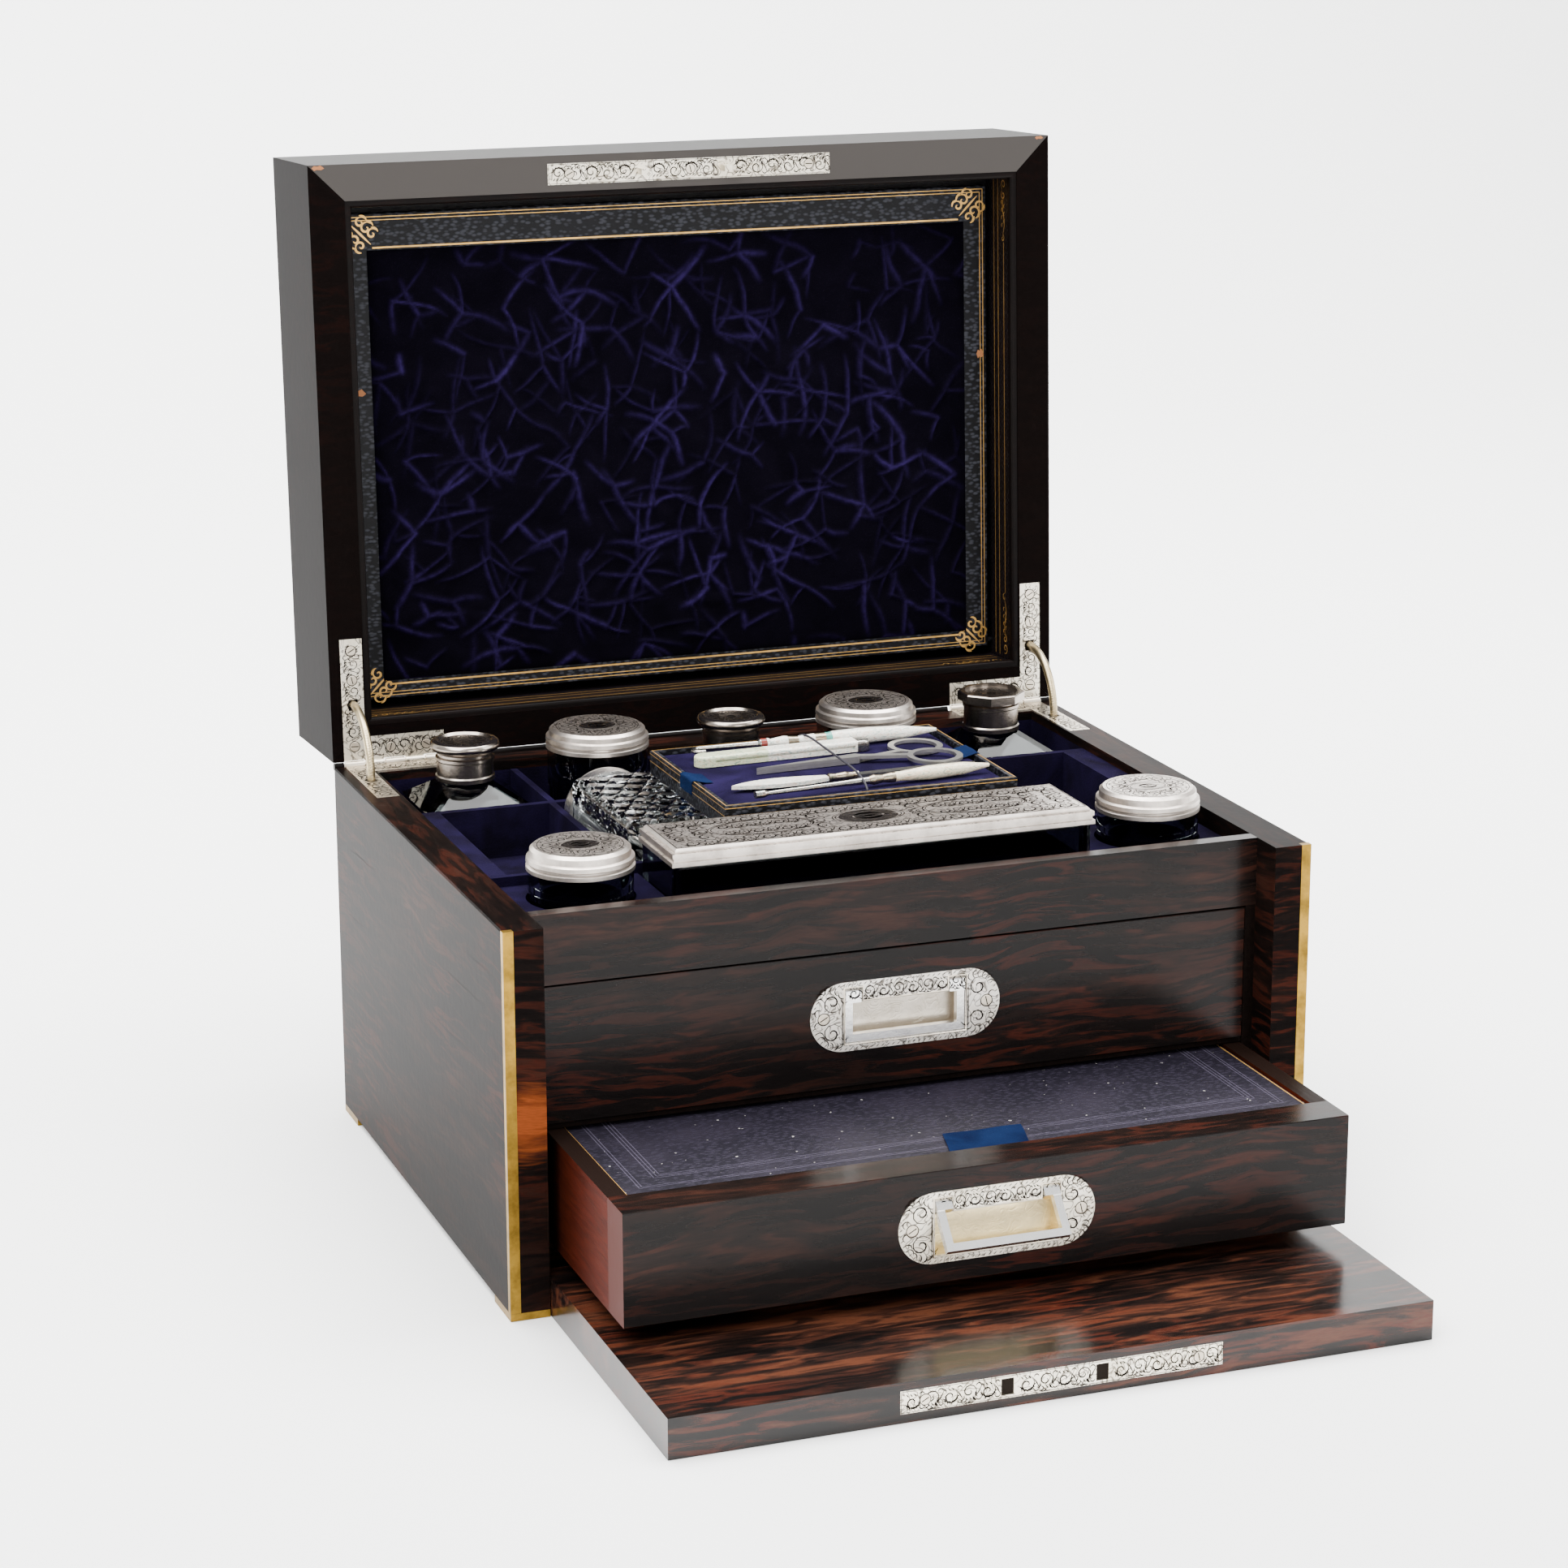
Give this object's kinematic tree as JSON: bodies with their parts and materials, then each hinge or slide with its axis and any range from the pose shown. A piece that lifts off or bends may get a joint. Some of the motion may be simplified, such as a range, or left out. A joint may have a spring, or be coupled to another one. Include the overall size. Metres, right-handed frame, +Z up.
{
  "type": "dressing box",
  "caption": "Veneered dressing box with a lid on quadrant stays, a fall flap, drawers with swing handles, and a velvet tray of silver-topped glass vessels and pearl-handled tools.",
  "frame": {"origin": "middle of the case's base, on the table it stands on", "axes": "+X to the right seen from the front, +Y from the front to the back, +Z up"},
  "size_m": [0.34, 0.4739, 0.4155],
  "materials": {
    "ebony_veneer": "near-black coromandel veneer with red-brown streaks, french polished",
    "bottom_wood": "dark planed softwood, unpolished",
    "drawer_wood": "mahogany-red stained wood, faded towards the front, satin",
    "velvet": "deep blue-violet silk velvet",
    "morocco": "black grained morocco leather with gilt lines",
    "tooled_leather": "blue-purple leather with blind and gilt tooling",
    "silk": "bright blue silk ribbon",
    "dark_cord": "fine dark braided cord",
    "brass": "aged brass strip",
    "stay_brass": "roped and polished gilt brass",
    "engraved_plate": "silver-plated brass engraved with scrolls, lightly tarnished",
    "pin_steel": "plain steel pin",
    "bail_silver": "polished silver-plated brass",
    "cut_glass": "clear cut lead glass",
    "silver": "engine-turned and engraved silver",
    "pearl_and_steel": "mother-of-pearl handle with a silver ferrule and a steel end",
    "pearl_scales": "mother-of-pearl scales, polished",
    "tool_steel": "polished blade steel"
  },
  "bodies": {
    "case": {"side_left": "ebony_veneer", "side_right": "ebony_veneer", "back_panel": "ebony_veneer", "bottom_board": "bottom_wood", "front_rails": "ebony_veneer", "drawer_guides": "drawer_wood", "brass_edging": "brass", "front_compartments": "velvet", "front_ledge": "velvet", "back_compartments": "velvet", "case_hinges": "engraved_plate"},
    "lid": {"lid_sides": "ebony_veneer", "lid_top": "ebony_veneer", "lid_bead": "ebony_veneer", "lid_lining": "morocco", "lid_lock_plate": "engraved_plate", "lid_hinges": "engraved_plate"},
    "lid_panel": {"lid_panel": "morocco", "panel_pad": "velvet"},
    "stay_left": {"stay_left": "stay_brass"},
    "stay_right": {"stay_right": "stay_brass"},
    "flap": {"flap_board": "ebony_veneer", "flap_lock": "engraved_plate", "flap_pins": "pin_steel"},
    "upper_drawer": {"upper_front": "ebony_veneer", "upper_box": "drawer_wood", "upper_handle_plate": "engraved_plate"},
    "upper_bail": {"upper_bail": "bail_silver"},
    "lower_drawer": {"lower_front": "ebony_veneer", "lower_box": "drawer_wood", "lower_handle_plate": "engraved_plate", "leather_board": "tooled_leather", "silk_tab": "silk"},
    "lower_bail": {"lower_bail": "bail_silver"},
    "manicure_tray": {"tray_case": "morocco", "tray_pad": "velvet", "button_hook": "pearl_and_steel", "penknife": "pearl_scales", "scissors": "tool_steel", "nail_file": "pearl_and_steel", "cuticle_pick": "pearl_and_steel", "tying_cord": "dark_cord"},
    "long_box": {"long_box": "cut_glass"},
    "long_box_lid": {"long_box_lid": "silver"},
    "flask": {"flask": "cut_glass"},
    "flask_cap": {"flask_cap": "silver"},
    "bottle_left": {"bottle_left": "cut_glass"},
    "bottle_left_cap": {"bottle_left_cap": "silver"},
    "bottle_small": {"bottle_small": "cut_glass"},
    "bottle_small_cap": {"bottle_small_cap": "silver"},
    "bottle_right": {"bottle_right": "cut_glass"},
    "bottle_right_cap": {"bottle_right_cap": "silver"},
    "jar_left": {"jar_left": "cut_glass"},
    "jar_left_lid": {"jar_left_lid": "silver"},
    "jar_right": {"jar_right": "cut_glass"},
    "jar_right_lid": {"jar_right_lid": "silver"},
    "pot_left": {"pot_left": "cut_glass"},
    "pot_left_lid": {"pot_left_lid": "silver"},
    "pot_right": {"pot_right": "cut_glass"},
    "pot_right_lid": {"pot_right_lid": "silver"}
  },
  "joints": [
    {"name": "lid_hinge", "type": "hinge", "parent": "case", "child": "lid", "pos_m": [0, 0.1301, 0.15715], "axis": [-1, 0, 0], "range_deg": [-92.5, 0]},
    {"name": "stay_left_swing", "type": "hinge", "parent": "case", "child": "stay_left", "pos_m": [0, 0.1301, 0.15715], "axis": [-1, 0, 0], "range_deg": [-46.25, 0]},
    {"name": "stay_right_swing", "type": "hinge", "parent": "case", "child": "stay_right", "pos_m": [0, 0.1301, 0.15715], "axis": [-1, 0, 0], "range_deg": [-46.25, 0]},
    {"name": "panel_hinge", "type": "hinge", "parent": "lid", "child": "lid_panel", "pos_m": [0, 0.15982, 0.18098], "axis": [1, 0, 0], "range_deg": [0, 28]},
    {"name": "flap_hinge", "type": "hinge", "parent": "case", "child": "flap", "pos_m": [0, -0.1205, 0.008], "axis": [-1, 0, 0], "range_deg": [0, 3]},
    {"name": "upper_slide", "type": "slide", "parent": "case", "child": "upper_drawer", "axis": [0, -1, 0], "range_m": [0, 0.11]},
    {"name": "lower_slide", "type": "slide", "parent": "case", "child": "lower_drawer", "axis": [0, -1, 0], "range_m": [-0.0934, 0.05]},
    {"name": "upper_bail_swing", "type": "hinge", "parent": "upper_drawer", "child": "upper_bail", "pos_m": [0, -0.1105, 0.1109], "axis": [-1, 0, 0], "range_deg": [0, 90]},
    {"name": "lower_bail_swing", "type": "hinge", "parent": "lower_drawer", "child": "lower_bail", "pos_m": [0, -0.2039, 0.0564], "axis": [-1, 0, 0], "range_deg": [-41, 49]},
    {"name": "bottle_left_lift", "type": "slide", "parent": "case", "child": "bottle_left", "axis": [0, 0, 1], "range_m": [0, 0.076]},
    {"name": "bottle_small_lift", "type": "slide", "parent": "case", "child": "bottle_small", "axis": [0, 0, 1], "range_m": [0, 0.076]},
    {"name": "bottle_right_lift", "type": "slide", "parent": "case", "child": "bottle_right", "axis": [0, 0, 1], "range_m": [0, 0.076]},
    {"name": "jar_left_lift", "type": "slide", "parent": "case", "child": "jar_left", "axis": [0, 0, 1], "range_m": [0, 0.06]},
    {"name": "jar_right_lift", "type": "slide", "parent": "case", "child": "jar_right", "axis": [0, 0, 1], "range_m": [0, 0.06]},
    {"name": "pot_left_lift", "type": "slide", "parent": "case", "child": "pot_left", "axis": [0, 0, 1], "range_m": [0, 0.045]},
    {"name": "pot_right_lift", "type": "slide", "parent": "case", "child": "pot_right", "axis": [0, 0, 1], "range_m": [0, 0.045]},
    {"name": "long_box_lift", "type": "slide", "parent": "case", "child": "long_box", "axis": [0, 0, 1], "range_m": [0, 0.045]},
    {"name": "flask_lift", "type": "slide", "parent": "case", "child": "flask", "axis": [0, 0, 1], "range_m": [0, 0.06]},
    {"name": "manicure_tray_lift", "type": "slide", "parent": "case", "child": "manicure_tray", "axis": [0, 0, 1], "range_m": [0, 0.04]},
    {"name": "bottle_left_cap_lift", "type": "slide", "parent": "bottle_left", "child": "bottle_left_cap", "axis": [0, 0, 1], "range_m": [0, 0.014]},
    {"name": "bottle_small_cap_lift", "type": "slide", "parent": "bottle_small", "child": "bottle_small_cap", "axis": [0, 0, 1], "range_m": [0, 0.014]},
    {"name": "bottle_right_cap_lift", "type": "slide", "parent": "bottle_right", "child": "bottle_right_cap", "axis": [0, 0, 1], "range_m": [0, 0.014]},
    {"name": "jar_left_lid_lift", "type": "slide", "parent": "jar_left", "child": "jar_left_lid", "axis": [0, 0, 1], "range_m": [0, 0.01]},
    {"name": "jar_right_lid_lift", "type": "slide", "parent": "jar_right", "child": "jar_right_lid", "axis": [0, 0, 1], "range_m": [0, 0.01]},
    {"name": "pot_left_lid_lift", "type": "slide", "parent": "pot_left", "child": "pot_left_lid", "axis": [0, 0, 1], "range_m": [0, 0.01]},
    {"name": "pot_right_lid_lift", "type": "slide", "parent": "pot_right", "child": "pot_right_lid", "axis": [0, 0, 1], "range_m": [0, 0.01]},
    {"name": "long_box_lid_lift", "type": "slide", "parent": "long_box", "child": "long_box_lid", "axis": [0, 0, 1], "range_m": [0, 0.01]},
    {"name": "flask_cap_turn", "type": "hinge", "parent": "flask", "child": "flask_cap", "pos_m": [-0.07325, 0.044, 0.1504], "axis": [0, 1, 0], "continuous": true}
  ],
  "couplings": [
    {"joint": "stay_left_swing", "follows": "lid_hinge", "ratio": 0.5},
    {"joint": "stay_right_swing", "follows": "lid_hinge", "ratio": 0.5}
  ]
}
